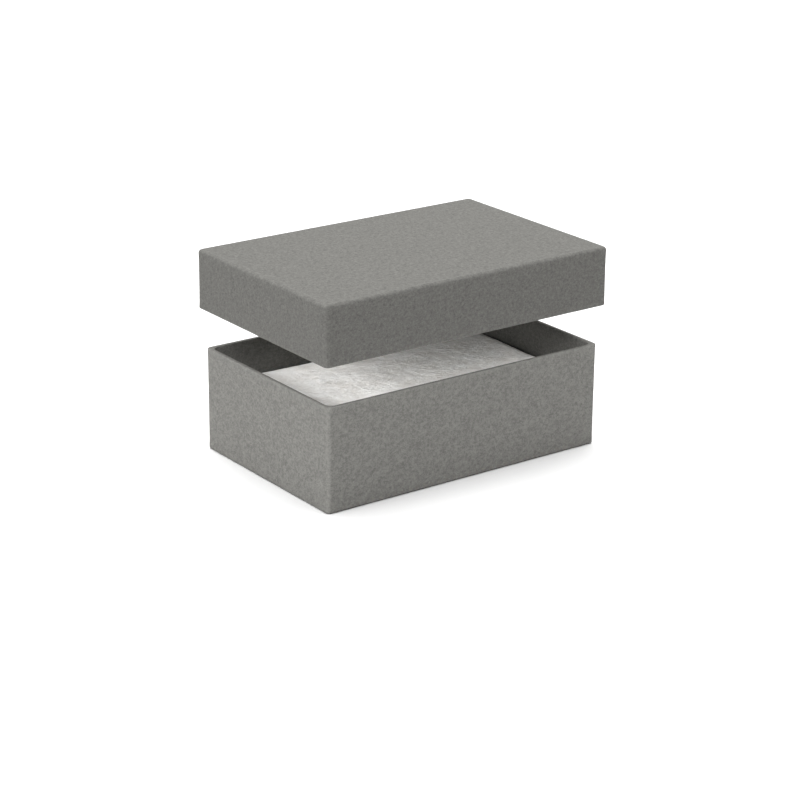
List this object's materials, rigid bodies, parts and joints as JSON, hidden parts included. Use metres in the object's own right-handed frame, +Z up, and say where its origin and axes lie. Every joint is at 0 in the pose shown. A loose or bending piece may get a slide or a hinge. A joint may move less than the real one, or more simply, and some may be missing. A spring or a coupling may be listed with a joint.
{
  "type": "archival box",
  "caption": "Rigid rectangular paper-covered box with a deep lift-off lid and a loose fibre wadding pad inside, for storing small objects.",
  "frame": {"origin": "middle of the base's underside, on the surface that the box stands on", "axes": "+X along the box's length, +Y to the back, +Z up"},
  "size_m": [0.0948, 0.0628, 0.0586],
  "materials": {
    "cover_paper": "matt flecked grey covering paper",
    "greyboard": "raw greyboard",
    "gummed_paper": "smooth gummed kraft paper",
    "lining_paper": "matt plain grey paper",
    "wadding": "soft white fibre wadding"
  },
  "bodies": {
    "base": {"base_wrap": "cover_paper", "base_board": "greyboard", "base_stay_front_left": "gummed_paper", "base_stay_front_right": "gummed_paper", "base_stay_back_left": "gummed_paper", "base_stay_back_right": "gummed_paper", "base_liner": "lining_paper"},
    "lid": {"lid_wrap": "cover_paper", "lid_board": "greyboard", "lid_stay_front_left": "gummed_paper", "lid_stay_front_right": "gummed_paper", "lid_stay_back_left": "gummed_paper", "lid_stay_back_right": "gummed_paper", "lid_liner": "lining_paper"},
    "pad": {"wadding_pad": "wadding"}
  },
  "joints": [
    {"name": "lid_lift", "type": "slide", "parent": "base", "child": "lid", "axis": [0, 0, 1], "range_m": [-0.0274, 0.03]},
    {"name": "pad_lift", "type": "slide", "parent": "base", "child": "pad", "axis": [0, 0, 1], "range_m": [0, 0.008]}
  ]
}
